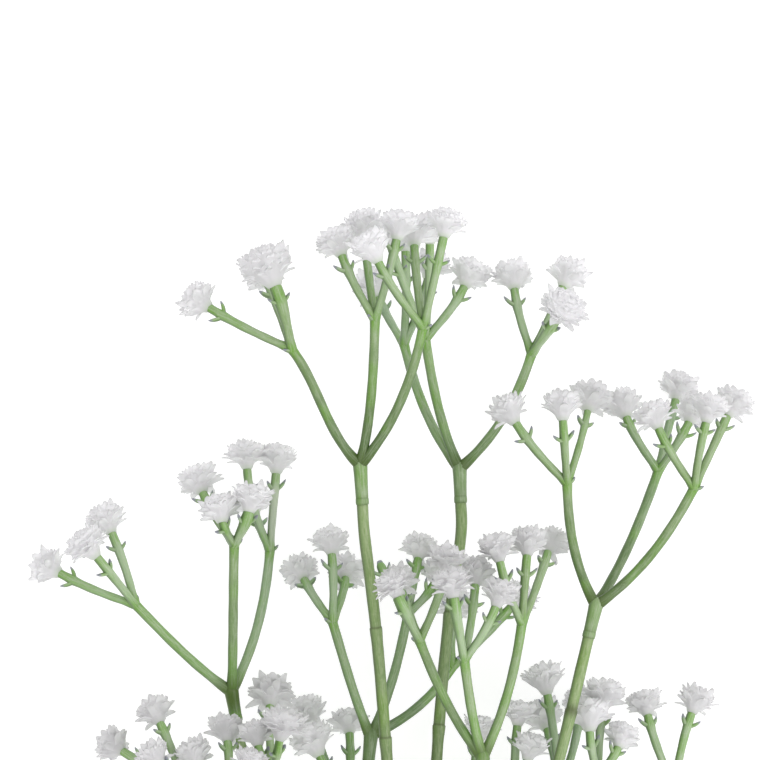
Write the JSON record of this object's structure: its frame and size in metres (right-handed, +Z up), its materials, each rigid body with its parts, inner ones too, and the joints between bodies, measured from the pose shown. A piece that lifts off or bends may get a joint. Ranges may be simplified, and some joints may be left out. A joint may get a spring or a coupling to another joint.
{
  "type": "gypsophila stem",
  "caption": "Artificial gypsophila stem with forked green branches and pushed-on sprays of small white many-petalled blooms, laid flat.",
  "frame": {"origin": "on the surface that the stem lies on, under the middle of its bounding box", "axes": "+X across the stem to the right, +Y along the stem from its cut end towards the blooms, +Z up from the surface"},
  "size_m": [0.2194, 0.4668, 0.095],
  "materials": {
    "stem_green": "moulded, satin, slightly ribbed",
    "spray_green": "moulded, satin, paler towards the blooms",
    "petal_white": "thin, matt and slightly translucent",
    "wire": "drawn, cut end bare"
  },
  "bodies": {
    "root": {"main_stem": "stem_green", "stem_wire": "wire", "fork_left": "stem_green", "fork_middle": "stem_green", "fork_right": "stem_green", "spray_top_left": "spray_green", "spray_top_right": "spray_green", "spray_right": "spray_green", "spray_left": "spray_green", "spray_centre_left": "spray_green", "spray_front": "spray_green", "spray_low_right": "spray_green", "spray_low_left": "spray_green", "spray_low_centre": "spray_green"}
  },
  "joints": []
}
